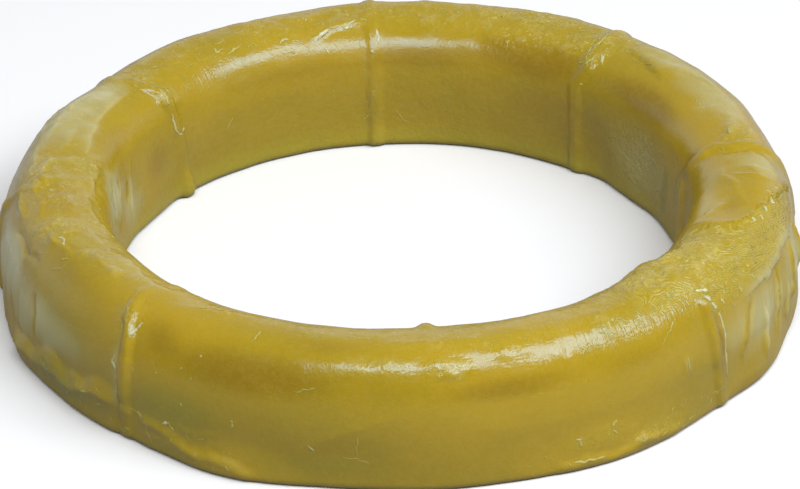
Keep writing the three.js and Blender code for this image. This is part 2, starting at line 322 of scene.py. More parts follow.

# Folds, each a lip that falls away slowly to one side: height, reach of the slow side in
# millimetres, how pale it makes the skin, as pale bloom and as a painted glint along its lip, then
# azimuth and s of two or more points. The slow side has the greater s where the fold runs to greater
# azimuths. A height under 0 is a groove. FOLD_EDGE is the reach of the sharp side, and a fold is
# worked out only as far as FOLD_MARGIN past its corners.
FOLD_EDGE = 0.6
FOLD_MARGIN = 8.0
FOLDS = (
    (0.45, 4.0, 0.9, 232, -3.2, 236, -4.8, 240, -4.6, 245, -4.8, 250, -5.2, 256, -5.8, 262, -6),
    (0.3, 2.0, 0.6, 264, 1.7, 262.8, -2.1, 260.5, -6),
    (0.6, 4.5, 0.35, 118.4, -5.2, 119.5, -4.2, 122.8, -3.4, 126, -2.7, 131, -1.7),
    (0.25, 1.5, 0.3, 108, 1.5, 114, 1.2, 119, -0.5, 122, -1.2),
    (0.45, 1.2, 0, 181, -4.6, 184.5, -5.2, 188, -6, 190.5, -7, 193, -7.8),
    (-0.9, 0.5, -1.3, 254, -14, 255, -19, 255.8, -24),
    (0.35, 0.9, 0.5, 256.5, -23.5, 255.9, -19, 255, -14.5),
    (-0.7, 0.5, -1.0, 249, -17, 249.5, -21.5),
    (-0.5, 0.5, -1.0, 258.4, -12, 259.2, -17, 259.6, -22),
    (0.3, 0.9, 0.4, 247, -14, 247.6, -20, 248, -25),
    (-0.7, 0.5, -1.2, 291.6, 10.4, 292.8, 14.4, 292.4, 19.4),
    (0.25, 1.2, 0.3, 293.6, 19, 293.8, 14.4, 293, 11),
    (-0.6, 0.5, -1.0, 282, 15.5, 283, 18, 284.5, 22),
    (0.25, 1.2, 0.3, 288, 20, 287, 15, 286.4, 11),
    (0.6, 1.0, 0.7, 285.5, 2.2, 289, 2.6, 292, 1.6, 295, 2.2),
    (0.5, 1.2, 0.6, 262, -1, 267, 0.6, 271, 0.2, 274, 1.4),
    (0.5, 1.0, 0.5, 270, 4, 275, 5.2, 279, 4.6),
    (0.45, 1.0, 0.6, 296, -1.4, 301, -0.6, 305, -1.8),
    (-0.5, 0.6, -0.7, 277, 7.4, 281, 6.6, 285, 7.4, 290, 6.2),
    (0.3, 1.4, 0.3, 274, -7.2, 279, -6.4, 284, -6.6, 289, -8.2),
    (0.25, 1.5, 0.3, 268, -3, 273, -2.4, 278, -3.2, 283, -2.6),
    (0.25, 1.5, 0.5, 256, 3.4, 262, 2.4, 268, 3),
    (0.22, 1.2, 0.4, 246, 1.6, 252, 1.0, 257, 1.8),
    (0.22, 1.2, 0.4, 250, -2, 256, -2.4, 261, -1.6),
    (-0.8, 0.9, -0.8, 63.8, 9.8, 62.9, 14, 62.2, 18, 61.4, 22.5),
    (0.6, 0.9, 0.6, 61, 22.5, 61.6, 18, 62.2, 14, 63, 10.2),
    (0.7, 1.0, -0.9, 69.2, 20.5, 69.6, 14, 70.4, 9.6),
    (-0.8, 0.8, -0.6, 72, 9.8, 71.4, 14, 70.8, 20),
    (0.5, 0.6, -0.6, 50.4, 22, 50.8, 18, 52, 14, 53.4, 10.4),
    (-0.5, 0.5, -0.3, 54.4, 10.4, 53.2, 14, 52, 18),
    (0.5, 0.8, 0.6, 56.8, 23.5, 57.2, 19, 57.8, 14),
    (0.5, 0.8, 0.6, 65.5, 22.5, 66, 18, 66.4, 13.5),
    (0.6, 0.9, -0.7, 76.4, 19, 76.8, 14, 77.4, 10.6),
    (0.45, 0.6, -0.3, 47, 23, 46.2, 18, 45.8, 14, 45.6, 9.5),
    (0.3, 2.2, 0.3, 84, -5, 80, -4.5, 78, -2.8, 74, -1.4, 70, 0.4),
    (0.2, 0.5, 0.4, 80.2, -3.4, 79.6, 0, 79.8, 4.6),
    (0.2, 0.5, 0.4, 83, -1.4, 82.4, 2, 82.6, 5.4),
    (0.25, 0.8, 0.5, 66, -6.4, 69, -5, 71, -3.4),
    (0.3, 0.8, 0.9, 94.6, -11, 95.4, -14, 96.6, -18, 98, -22),
    (0.3, 1.6, 0.4, 92, -6, 94.5, -2.4, 99, -1, 104, -1.6),
    (0.25, 1.2, 0.4, 90.5, -2.8, 93, 0.4, 97, 1.8),
    (-0.2, 0.8, 0, 20.5, 3.6, 19.5, 6.4),
    (0.14, 1.6, 0.1, 340.8, 19.2, 348.5, 14.9, 359.2, 10.6),
    (0.12, 1.4, 0.1, 352, 20.5, 0, 16, 10, 12.5),
    (0.14, 1.2, 0.1, 323.5, 19.2, 326, 20.1, 331.2, 19),
    (0.3, 0.9, 0.5, 38.8, 16.2, 38.2, 14.4, 38, 12.6),
    (0.4, 2.6, 0.7, 300, -5.6, 305, -4.4, 310, -3.2, 316, -3.4),
    (0.3, 1.4, 0.3, 298, -2.6, 302, -1.4, 306, 0.6),
    (0.25, 1.2, 0.3, 318, -1.6, 323, -2, 328, -3.6, 334, -4.4),
    (0.3, 1.2, 0.3, 226.6, -7, 226.2, -10, 225.8, -12),
    (0.25, 1.2, 0.3, 233.5, -5, 232.5, -7, 232, -9.4),
    (0.2, 1.5, 0.4, 214, -2.6, 219, -3.4, 224, -3),
    (0.2, 1.4, 0.4, 203, -2.4, 208, -3.4, 212, -4),
    (0.3, 1.2, 0.7, 311.6, 7, 312.6, 10, 313, 14, 312.8, 19, 312.6, 22.5),
    (0.35, 1.6, 0.8, 74, 9.4, 68, 9, 60, 10, 52, 9.8),
    (0.35, 1.4, 0.6, 60, 1.4, 55, 0.4, 50, 1.2, 45, 0),
    (0.3, 1.4, 0.5, 62, 5.2, 57, 4.4, 52, 5.4),
    (0.35, 1.6, 0.6, 44, -6, 48, -5, 53, -4.6, 58, -3.6),
    (0.3, 1.3, 0.5, 38, -2.6, 43, -1.4, 47, -2.4),
    (0.3, 1.3, 0.5, 268, 1, 273, 2, 278, 1.2, 282, 2.6),
    (0.35, 1.5, 0.5, 262, -8.8, 267, -7.8, 272, -8.2),
    (0.3, 1.3, 0.5, 243, 3.2, 248, 4.4, 253, 3.6),
    (0.3, 1.4, 0.5, 238, 0.6, 243, 1.6, 247, 0.4),
    (0.3, 1.4, 0.5, 286, -3.2, 290, -4.4, 295, -4),
    (0.25, 1.2, 0.6, 146, -1.4, 152, -2.6, 158, -1.8, 164, -2.6),
    (0.25, 1.2, 0.5, 168, -1.6, 173, -0.6, 178, -1.6),
    (0.25, 1.2, 0.5, 186, -1.2, 192, -2.2, 198, -1.4),
    (-0.3, 1.2, -0.6, 84, 5.5, 87, 3, 88.5, -1, 88, -6),
)

# Skirts of squeezed wax round the foot: where each rise starts and where its brink is, as pairs of
# azimuth and s, its height, and the share of it that is left at the foot. The rest falls away over
# SKIRT_FALL millimetres, and a skirt fades out over its last SKIRT_END degrees both ways.
SKIRT_FALL = 1.3
SKIRT_END = 2.5
SKIRTS = (
    {
        "start": (
            (284, 21.5), (288, 20.5), (292, 20.2), (295, 19.2), (297.8, 17.3), (300.2, 18.9),
            (303.8, 18.5), (306, 18.6), (308.5, 16.7), (311, 17), (313.5, 18.5),
        ),
        "brink": (
            (284, 23.4), (288, 22.8), (295, 22.1), (298.8, 21.3), (301.5, 22.5), (304.2, 21.5),
            (306.5, 20.6), (308.2, 19.5), (311.5, 20), (313.5, 20.8),
        ),
        "height": 1.3,
        "left": 0.4,
    },
    {
        "start": (
            (316, 19.6), (320, 20.0), (323.8, 21.2), (325.5, 22.2), (328, 22.1), (331.5, 22.2),
            (336, 23.6),
        ),
        "brink": ((316, 20.8), (320, 21.4), (325, 22.9), (327.2, 23.6), (331, 23.6), (336, 25)),
        "height": 0.55,
        "left": 0.2,
    },
    {
        "start": ((16, 23.2), (19, 23.8), (24, 23.9), (30, 23.6), (38, 24)),
        "brink": ((16, 24.2), (19, 24.5), (24, 24.6), (30, 24.4), (38, 24.9)),
        "height": 0.4,
        "left": 0.3,
    },
)

# Slivers and curls of paler wax that stand on the skin, their paleness partly a painted glint: width
# before SLIVER_WIDTH_SCALE, then azimuth and s of two to five points along each
SLIVER_WIDTH_SCALE = 0.95
SLIVERS = (
    (0.35, 44, -9.1, 42.2, -6, 41, -6),
    (0.3, 49, -9.4, 44.8, -5.2),
    (0.3, 47, -6.4, 45.8, -4.1, 44.8, -2.5),
    (0.3, 44.2, -3.3, 42.2, 0),
    (0.35, 54, -3.9, 53, -2.9),
    (0.3, 52, -2.9, 49.8, -2.1, 47.8, -1.7),
    (0.25, 52.2, -2.1, 49.5, 0),
    (1.1, 44.3, 4.2, 46.8, 5.1),
    (1.2, 45.2, 5.3, 45.8, 7.2),
    (0.5, 43, 5.1, 44.5, 5.5),
    (0.8, 45.8, 7.2, 46.5, 8.4),
    (0.5, 48.2, 4.7, 48.5, 6.3),
    (0.5, 48.5, 7.2, 48.2, 8.7),
    (0.45, 53, 7.4, 52.8, 8.9),
    (0.45, 55, 6.8, 56.2, 6.6),
    (0.4, 57, 7.6, 56.5, 9.2),
    (0.8, 67.6, 2.2, 66.8, 3),
    (0.6, 69.6, 3, 68.4, 4),
    (0.65, 72.1, 3, 71.1, 4),
    (1.0, 75.2, 3.8, 74.7, 4.9),
    (0.65, 79.2, 5.6, 78.8, 6.5),
    (0.55, 61.6, -2.8, 62.4, -1.9),
    (0.4, 63.1, 0.8, 63.6, 2.6),
    (0.3, 38.2, 6.4, 36.4, 8, 34.4, 9.8),
    (0.35, 38.6, 13, 38.8, 15.6),
    (0.3, 311, 3.1, 312.2, 4.3, 313, 6.3),
    (0.6, 315.1, 4.7, 314.2, 7.7),
    (0.25, 311.8, 6.3, 312.8, 8.7),
    (0.25, 311.8, -2.5, 313.8, -1.2),
    (0.35, 320.5, -1.7, 322.2, -2.1, 323.8, -4),
    (0.3, 323.8, -2.1, 327.8, -4.2),
    (0.4, 333.1, 2.9, 334, 0.2),
    (0.3, 340, -0.8, 341.8, -1.2, 343.2, 0.3),
    (0.4, 277.8, -6.4, 281.5, -6.9),
    (0.35, 277.8, -7.8, 276.5, -9.1, 278.8, -8.1),
    (0.55, 284.8, -6.6, 287, -7.8, 288.6, -8.7),
    (0.3, 292.8, -7.1, 291.8, -9.7),
    (0.6, 288.5, 1.8, 289.8, 0.9, 291.4, 1.8),
    (0.35, 285, 0.8, 286, -0.1),
    (0.4, 285.2, 2, 286.8, 1.2),
    (0.35, 288.4, 5.7, 289.9, 4.6),
    (0.35, 293.5, 3.6, 294.6, 2.7),
    (0.3, 292.8, 5.9, 294.8, 4.7, 295, 3.5),
    (0.35, 262.2, -4.5, 261.8, -5.6, 260, -6),
    (0.4, 263.8, -6.7, 266.2, -8.1),
    (0.3, 272.3, -2.7, 271.3, -3.8),
    (0.3, 278, -4, 276.8, -5.3),
    (0.25, 273.8, -7.1, 271.2, -9.4),
    (0.25, 307.5, -0.4, 307.5, -3.7),
    (0.5, 229.5, -7.4, 229.5, -9.1, 229.6, -11),
    (0.4, 227.5, -7.4, 227.2, -9.4, 227.2, -10.4),
    (0.35, 217, -5.5, 215, -6.1),
    (0.3, 219.7, -6, 217.6, -6),
    (0.5, 212, -4.3, 212.2, -5.6, 210, -5.2),
    (0.5, 210.2, -6.5, 208.8, -6, 206.3, -5.5),
    (0.4, 206, -6.5, 204.2, -6, 203.6, -6.8),
    (0.55, 199.2, -7.2, 198.2, -6.7, 197.3, -6.6),
    (0.35, 196.7, -7, 194.6, -7.8),
    (0.8, 192.4, -7.9, 190.5, -7.1, 189, -6.3),
    (0.45, 205.2, -2.6, 204, -2),
    (0.4, 211.3, -3.7, 209.3, -3.7),
    (0.35, 225.4, -2.4, 224, -3),
    (0.6, 190.5, -9.4, 189.8, -10.6),
    (0.6, 189, -6.3, 186.5, -5.9, 185.2, -5.9, 184.3, -5.1, 183, -4.7),
    (0.5, 182.7, -4.7, 182, -4.5, 181.3, -4.9),
    (0.7, 179.5, -7, 179.4, -9.7),
    (0.6, 181.2, -10.6, 180.4, -11.5),
    (0.5, 183.2, -8.5, 183, -10),
    (0.5, 181, -7.6, 180.9, -9),
    (0.6, 229.6, -12, 229.2, -15, 228.4, -16.4, 226.6, -16.9),
    (0.6, 227, -16.4, 226, -16.2),
    (0.35, 183.6, -24.2, 182.4, -23.4, 181.8, -22.6),
    (0.35, 176.2, -22.2, 174.8, -24, 173.6, -24.6),
    (0.3, 214.8, -20.4, 213.6, -19.2, 212.6, -18.2),
    (0.25, 189.6, -17.4, 188.8, -19.2),
    (0.5, 138, 1.7, 136.2, -1.2, 136, -3.7, 136.8, -5, 136, -7.8),
    (0.5, 135.6, -8.6, 134.8, -7.4, 134.7, -6.2),
    (0.4, 133.8, -5.4, 132.6, -6.4, 132.2, -7.8),
    (0.5, 136.2, -8, 137.2, -8.8),
    (0.4, 134.2, -8.2, 134.6, -7.2),
    (0.75, 133, -7.1, 132.4, -6.7, 133.8, -5.5),
    (0.4, 134.4, -4, 133.3, -4.2),
    (0.4, 130.5, -2.4, 129.6, -2.6),
    (0.4, 135.3, -12, 134.3, -12.1),
    (0.3, 141, 0.7, 139.5, -1.2, 138.4, -0.8),
    (0.25, 128.5, -3.3, 126.5, -3.7, 122.8, -3.3),
    (0.4, 96.5, -2.1, 94, -2.5, 94.5, -1.7),
    (0.35, 94, -0.5, 94, 0.8),
    (0.35, 90.2, -4.6, 88, -4),
    (0.4, 92.1, -0.5, 91.4, 1.1),
    (0.4, 88.3, -0.1, 87.7, 1.1),
    (0.35, 91.1, 1.2, 90.1, 2.9),
    (0.55, 312.2, 11.2, 312, 12.7, 312.8, 13.8, 313.2, 15.5),
    (0.35, 313.2, 15.5, 312.8, 18, 313, 20.4),
    (0.5, 314, 7.8, 314.6, 6.7),
    (0.35, 301.9, 23.4, 302.9, 22.5),
    (0.35, 305.8, 20.9, 308.2, 19.4),
    (0.3, 315, 19.6, 317.2, 20.3),
    (0.35, 317.8, 22.2, 318.3, 22.9, 319.2, 24.5),
    (0.7, 320.8, 19.9, 322, 19.8),
    (0.3, 322, 19.2, 323.2, 20.9),
    (0.35, 332, 15.9, 332.3, 17.4),
    (0.5, 342.9, 18.2, 343.8, 19.4),
    (0.25, 347.2, 20, 349.5, 20.3, 351.2, 21.1),
    (0.25, 349.5, 16.3, 349.5, 19.6),
    (0.5, 19.5, 20.4, 20.7, 20.5),
    (0.4, 20, 20.7, 20.2, 22),
    (0.45, 25, 19.9, 26, 18.9),
    (0.4, 24.9, 20.6, 25.9, 21.4),
    (0.6, 46.5, 9, 46.8, 13, 46.4, 17, 46.7, 21),
    (0.4, 107.4, -25.6, 106.8, -26.4),
    (0.35, 108.2, -24.2, 107.6, -24.8),
    (0.35, 104.4, -27, 103.8, -27.4),
    (0.45, 19, 24, 20.2, 24.4, 21.5, 24.4, 24, 24.4),
    (0.35, 29, 23.9, 30.8, 23.8),
    (0.35, 32.6, 24.5, 34.2, 24.2),
    (0.3, 39.5, 24, 38.2, 24.9),
    (0.3, 43.5, 22.8, 43.2, 24.1),
    (0.5, 326.2, 7.2, 326.2, 6.8),
    (0.4, 315.6, 12.4, 316, 13),
    (0.4, 319.5, 11.7, 319.8, 11.7),
    (0.3, 323.5, 10.1, 323.8, 9.6),
    (0.35, 325.2, 11.2, 325.5, 10.6),
    (0.35, 324.1, 15.2, 324.4, 15.8),
    (0.35, 318.2, 22.4, 318.2, 21.8),
    (0.45, 316.5, 19.8, 317.2, 20.7),
    (0.5, 332.0, 16.0, 332.2, 16.6),
    (0.35, 331.5, 23.7, 332.0, 24.5),
    (0.35, 308.5, 21.8, 310.5, 21.3),
    (0.35, 314.0, 23.7, 315.0, 23.9),
    (0.35, 341.0, 9.6, 342.0, 9.1),
    (0.3, 341.8, 9.1, 343.8, 8.7),
)

# A sliver's bar: stations along it and sides round it, its thickness and the height of its middle as
# shares of its width, and how pale it is, partly as a painted glint, as widths in millimetres and the
# paleness at each
SLIVER_STATIONS = 15
SLIVER_SIDES = 8
SLIVER_THICKNESS = 0.28
SLIVER_MIDDLE = 0.04
SLIVER_PALENESS_AND_GLINT = ((0.2, 0.48), (0.85, 0.95))

# Patches of fine strokes in the skin: azimuth from and to, s from and to, how many, their lean from
# the line of the section in degrees, which each stroke varies, their length and their width
STROKE_SEED = 91
STROKE_LEAN_SPREAD = 24.0
STROKES = (
    (21, 41, 2.0, 5.6, 60, 12, 1.9, 0.2),
    (5, 22, 1.0, 3.4, 22, 25, 1.0, 0.17),
    (44, 60, 4.5, 9.2, 46, 8, 1.5, 0.22),
    (58, 76, 4.5, 9.0, 34, 5, 1.2, 0.24),
    (45, 63, -5.0, 4.0, 18, 70, 1.6, 0.17),
    (36, 47, -6.5, 2.0, 12, 40, 1.5, 0.17),
    (65, 80, 2.2, 7.0, 16, 15, 1.3, 0.38),
    (140, 166, -3.8, 1.8, 72, 75, 0.7, 0.26),
    (166, 182, -5.0, 1.0, 22, 60, 0.7, 0.2),
    (184, 222, -5.6, 1.0, 62, 75, 0.7, 0.26),
    (199, 222, -10.6, -7.6, 30, 8, 1.1, 0.12),
    (163, 178, -10.4, -8.4, 18, 15, 0.9, 0.13),
    (186, 198, -10.8, -8.4, 20, 30, 1.0, 0.17),
    (262, 292, -9.0, 1.0, 58, 70, 1.4, 0.2),
    (240, 262, -6.0, 3.0, 26, 75, 1.2, 0.17),
    (286, 312, -5.0, 3.0, 30, 60, 1.1, 0.17),
    (312, 345, -4.0, 1.0, 26, 65, 1.0, 0.17),
    (91, 112, -4.0, 2.5, 34, 70, 1.0, 0.22),
    (132, 138, -9.5, -1.0, 18, 20, 1.0, 0.3),
    (34, 46, 20.5, 25.0, 24, -30, 1.2, 0.2),
    (12, 34, 21.5, 25.0, 18, 40, 1.0, 0.18),
    (286, 312, 17.5, 23.5, 24, 10, 1.2, 0.18),
    (315, 332, 20.0, 24.5, 12, -30, 1.2, 0.18),
)

# Random wanders: rows of height, cell in millimetres and seed. They make the edges and lines above
# ragged, and the skin uneven.
WANDERS = {
    "rib_edge": ((0.22, 1.3, 11), (0.15, 3.0, 12)),
    "skirt_edge": ((0.35, 1.4, 31), (0.4, 3.5, 32)),
    "fold_azimuth": ((0.3, 1.6, 34),),
    "fold_s": ((0.3, 1.6, 35),),
    "fold_height": ((0.6, 2.0, 36),),
    "torn_end": ((0.35, 1.6, 40),),
    "torn_side": ((1.0, 3.0, 41),),
    "torn_start": ((3.0, 5.0, 42),),
    "ripple_bend": ((2.0, 3.6, 81), (0.6, 1.8, 82)),
    "handled_side": ((1.6, 6.0, 51), (0.9, 2.5, 52)),
    "handled_patch": ((1.0, 5.5, 54), (0.5, 2.2, 55)),
    "chatter_side": ((1.2, 3.0, 53),),
    "skin": ((0.16, 12.0, 61), (0.09, 5.0, 62), (0.025, 2.0, 63)),
    "groove_patch": ((1.0, 6.0, 67),),
    "bloom_and_reflection_azimuth": ((1.5, 3.0, 83),),
    "bloom_and_reflection_s": ((1.2, 3.0, 84),),
    "sliver_width": ((0.7, 0.4, 71),),
    "sliver_azimuth": ((0.25, 0.6, 72),),
    "sliver_s": ((0.25, 0.6, 73),),
}

# Noises in the wax's material: the share of s that counts on the unrolled surface, low where the
# pattern is drawn out along s, or none for a pattern in the solid, then its cell in millimetres,
# detail, roughness and distortion. The grain of real wax is finer, and this one is as coarse as it
# needs to be to show.
WAX_NOISES = {
    "cloud": (None, 26.0, 2.0, 0.5, 0.0),
    "streaks": (0.06, 1.3, 3.0, 0.6, 0.0),
    "pebbles_and_sheen": (None, 1.0, 3.0, 0.7, 0.0),
    "mottle": (None, 0.9, 3.0, 0.65, 0.0),
    "smears": (1.3, 3.0, 3.0, 0.6, 1.2),
    "glint_flecks": (None, 0.8, 3.0, 0.7, 0.8),
    "ripple_patches": (None, 1.4, 1.0, 0.5, 0.0),
    "gloss": (None, 3.5, 3.0, 0.6, 0.0),
    "grain": (None, 0.45, 2.0, 0.5, 0.0),
    "waver": (None, 2.6, 2.0, 0.5, 0.0),
    "crumple": (0.8, 1.8, 3.0, 0.6, 0.6),
    "crumbs": (None, 0.8, 2.0, 0.6, 0.0),
    "bore_grain": (None, 1.1, 2.0, 0.6, 0.0),
    "chatter_lines": (0.12, 0.6, 2.0, 0.5, 0.0),
    "drag_lines": (0.05, 0.9, 2.0, 0.5, 0.0),
}


def ramp(x, low, high):
    """0 below low, 1 above high, and the ease curve 3t^2 - 2t^3 between."""
    t = np.clip((x - low) / (high - low), 0.0, 1.0)
    return t * t * (3.0 - 2.0 * t)


def eased(x, pairs):
    """Curve through pairs of (stop, value), flat past both ends, each piece eased by 3t^2 - 2t^3."""
    stops, values = np.array(pairs, float).T
    piece = np.clip(np.searchsorted(stops, x), 1, len(stops) - 1)
    return values[piece - 1] + (values[piece] - values[piece - 1]) * ramp(x, stops[piece - 1], stops[piece])


def degrees_apart(azimuth, other):
    """The shorter way round from the other azimuth to this one, in degrees, either sign."""
    return (azimuth - other + FULL_TURN / 2) % FULL_TURN - FULL_TURN / 2


def field(points, cell, seed):
    """Smooth random field from -1 to 1. Random numbers at the corners of a cubic lattice whose cells
    are cell millimetres wide, blended across each cell with the ease curve."""
    size = 48
    lattice = np.random.default_rng(seed).uniform(-1.0, 1.0, (size, size, size))
    position = points / cell
    corner = np.floor(position).astype(int)
    share = position - corner
    share = share * share * (3.0 - 2.0 * share)
    total = np.zeros(points.shape[:-1])
    for step in np.ndindex(2, 2, 2):
        weight = np.prod(np.where(step, share, 1.0 - share), axis=-1)
        i, j, k = np.moveaxis((corner + step) % size, -1, 0)
        total += weight * lattice[i, j, k]
    return total


def wander(points, name):
    """Sum of the random fields that WANDERS gives under a name."""
    return sum(height * field(points, cell, seed) for height, cell, seed in WANDERS[name])


def layered(points, cell, seed, layers=3):
    """Sum of random fields, each with half the cell and 0.55 of the height of the one before."""
    return sum(0.55**n * field(points, cell / 2**n, seed + n) for n in range(layers))


def creased(points, cell, seed):
    """Thin crests from 0 to 1 along the lines where a random field is 0: (1 - |field|)^6."""
    return (1.0 - np.abs(field(points, cell, seed))) ** 6


def quarter(centre, run, drop, quadrant, rows):
    """Quarter ellipse, anticlockwise: the centre plus (run cos t, drop sin t) over one quadrant."""
    t = (quadrant + np.arange(rows) / rows) * math.pi / 2
    return np.stack([centre[0] + run * np.cos(t), centre[1] + drop * np.sin(t)], axis=1)


def straight(start, end, rows):
    """Straight stretch from start towards end, which the next stretch begins with."""
    share = np.arange(rows)[:, None] / rows
    return np.array(start) + share * (np.array(end) - np.array(start))


def section(rows):
    """Radius and height of the points down the section, anticlockwise from the outer foot over the
    crown to the inner foot: a foot round, an upright wall and a quarter ellipse, then a flatter
    quarter ellipse, the leaning bore and the other foot round. Also s at each point."""
    foot_outer, wall, shoulder_outer, shoulder_inner, bore, foot_inner = rows
    bore_top = (BORE_RADIUS + BORE_DRAFT, HEIGHT - INNER_SHOULDER_DROP)
    outer_centre = (OUTER_RADIUS - FOOT_ROUND, FOOT_ROUND)
    inner_centre = (BORE_RADIUS + FOOT_ROUND, FOOT_ROUND)
    wall_top = (OUTER_RADIUS, OUTER_WALL_HEIGHT)
    outer_crown, inner_crown = (CROWN_RADIUS, wall_top[1]), (CROWN_RADIUS, bore_top[1])
    line = np.vstack([
        quarter(outer_centre, FOOT_ROUND, FOOT_ROUND, 3, foot_outer),
        straight((OUTER_RADIUS, FOOT_ROUND), wall_top, wall),
        quarter(outer_crown, OUTER_SHOULDER_RUN, OUTER_SHOULDER_DROP, 0, shoulder_outer),
        quarter(inner_crown, INNER_SHOULDER_RUN, INNER_SHOULDER_DROP, 1, shoulder_inner),
        straight(bore_top, (BORE_RADIUS, FOOT_ROUND), bore),
        quarter(inner_centre, FOOT_ROUND, FOOT_ROUND, 2, foot_inner),
        [[inner_centre[0], 0.0]],
    ])
    run = np.concatenate([[0.0], np.cumsum(np.hypot(*np.diff(line, axis=0).T))])
    crown = run[foot_outer + wall + shoulder_outer]
    return line, crown - run


# The section again on a finer line, and which way it faces there: level at the foot, and away from
# the ring's middle
FINE_ROWS = (40, 60, 160, 120, 80, 40)
LINE, LINE_S = section(FINE_ROWS)
TANGENT = np.gradient(LINE, axis=0)
FACING = np.stack([TANGENT[:, 1], -TANGENT[:, 0]], axis=1)
FACING[LINE[:, 1] < FOOT_ROUND, 1] = 0.0
FACING[:, 0] += np.where(LINE[:, 1] < FOOT_ROUND, np.sign(LINE[:, 0] - CROWN_RADIUS) * MM, 0.0)
FACING /= np.hypot(*FACING.T)[:, None]
OUTER_SIDE = LINE_S[0]
INNER_SIDE = -LINE_S[-1]


def along_section(s, values):
    """Values of the fine section at s, straight between its points."""
    return np.interp(s, LINE_S[::-1], values[::-1])


def rib_azimuth(index, s):
    """Azimuth of a rib's middle: its eighth of the turn, and its wander there."""
    return index * FULL_TURN / len(RIBS) + eased(s, RIBS[index % len(RIBS)]["wander"])


def on_ring(azimuth, s, out=0.0):
    """Point of the plain ring, moved out along the way the section faces, or level at the foot."""
    radius = along_section(s, LINE[:, 0]) + out * along_section(s, FACING[:, 0])
    height = along_section(s, LINE[:, 1]) + out * along_section(s, FACING[:, 1])
    turn = np.radians(azimuth)
    return np.stack([radius * np.sin(turn), -radius * np.cos(turn), height], axis=-1)


def flow(azimuth, s):
    """Place on the unrolled surface as a closed cylinder: round the crown's circle, and s upwards."""
    turn = np.radians(azimuth)
    return np.stack([CROWN_RADIUS * np.sin(turn), -CROWN_RADIUS * np.cos(turn), s], axis=-1)


def ribs_relief(azimuth, s, ring):
    """Each rib: flat on top and eased down both flanks, with a ragged width and height."""
    radius = along_section(s, LINE[:, 0])
    ragged = wander(flow(azimuth, s), "rib_edge")
    relief = np.zeros_like(s)
    for index, rib in enumerate(RIBS):
        level = radius * np.radians(degrees_apart(azimuth, rib_azimuth(index, s)))
        shape = 1.0 - ramp(np.abs(level) + ragged, RIB_TOP_WIDTH / 2, RIB_REACH)
        relief += shape * eased(s, rib["proud"])
    return RIB_HEIGHT * relief * (1.0 + 0.2 * layered(ring, 2.4, 21))


def spots(azimuth, place, table):
    """Sum of round spots (1 - d^2)^2, d being the distance from the middle over the reach."""
    total = np.zeros(place.shape)
    for middle, middle_place, degrees, reach, amount in table:
        distance = np.hypot(degrees_apart(azimuth, middle) / degrees, (place - middle_place) / reach)
        total += amount * np.clip(1.0 - distance**2, 0.0, 1.0) ** 2
    return total


def skirts_relief(azimuth, s, ring):
    """Each skirt: a rise from its start to its brink, which falls away towards the foot."""
    relief = np.zeros_like(s)
    stray = wander(ring, "skirt_edge")
    for skirt in SKIRTS:
        first, last = skirt["brink"][0][0], skirt["brink"][-1][0]
        middle = (first + last) / 2
        away = degrees_apart(azimuth, middle)
        start = np.interp(middle + away, *np.array(skirt["start"]).T) + stray
        brink = np.interp(middle + away, *np.array(skirt["brink"]).T) + stray
        ends = 1.0 - ramp(np.abs(away), (last - first) / 2 - SKIRT_END, (last - first) / 2)
        fall = skirt["left"] + (1.0 - skirt["left"]) * np.exp(-np.maximum(s - brink, 0.0) / SKIRT_FALL)
        rise = np.clip((s - start) / (brink - start), 0.0, 1.0) ** 0.8
        relief += skirt["height"] * ends * fall * rise
    return relief


def folds(azimuth, s, ring):
    """Each fold, with its line a little ragged: exp(-d / reach) on its slow side and 1 eased to 0
    over FOLD_EDGE on its sharp side, d being the distance from its line, and 0 at both ends.
    Returns the sum of their heights, and how pale they make the skin, as bloom and as painted glints along
    their lips."""
    across_ring = CROWN_RADIUS * math.radians(1.0)
    azimuth = azimuth + wander(ring, "fold_azimuth")
    s = s + wander(ring, "fold_s")
    relief, paleness_and_glint = np.zeros(s.shape), np.zeros(s.shape)
    for height, reach, pale_and_glint, *line in FOLDS:
        azimuths, places = np.array(line[::2]), np.array(line[1::2])
        middle = azimuths.mean()
        x, y = degrees_apart(azimuth, middle) * across_ring, s
        near = np.abs(x) < np.ptp(azimuths) * across_ring + FOLD_MARGIN
        near &= np.abs(y - places.mean()) < np.ptp(places) + FOLD_MARGIN
        x, y = x[near], y[near]
        corners = np.stack([(azimuths - middle) * across_ring, places], axis=1)
        lengths = np.hypot(*np.diff(corners, axis=0).T)
        nearest = np.full(x.shape, np.inf)
        shape = np.zeros(x.shape)
        for n, (start, step) in enumerate(zip(corners[:-1], np.diff(corners, axis=0))):
            from_x, from_y = x - start[0], y - start[1]
            share = np.clip((from_x * step[0] + from_y * step[1]) / lengths[n] ** 2, 0.0, 1.0)
            away = np.hypot(from_x - share * step[0], from_y - share * step[1])
            slow = step[0] * from_y - step[1] * from_x > 0.0
            along = (lengths[:n].sum() + share * lengths[n]) / lengths.sum()
            profile = np.where(slow, np.exp(-away / reach), 1.0 - ramp(away, 0.0, FOLD_EDGE))
            closer = away < nearest
            shape = np.where(closer, profile * np.clip(5.0 * along * (1.0 - along), 0.0, 1.0), shape)
            nearest = np.minimum(nearest, away)
        relief[near] += height * shape
        paleness_and_glint[near] += pale_and_glint * shape
    return relief, paleness_and_glint


def band(x, stops, stray=0.0):
    """Eased up from 0 to 1 between the first two stops and down again between the last two. The
    start strays."""
    start, full, fade, end = stops
    return ramp(x + stray, start, full) * (1.0 - ramp(x, fade, end))


def round_ring(azimuth, other):
    """The way round the crown's circle from the other azimuth to this one, in millimetres."""
    return np.radians(degrees_apart(azimuth, other)) * CROWN_RADIUS


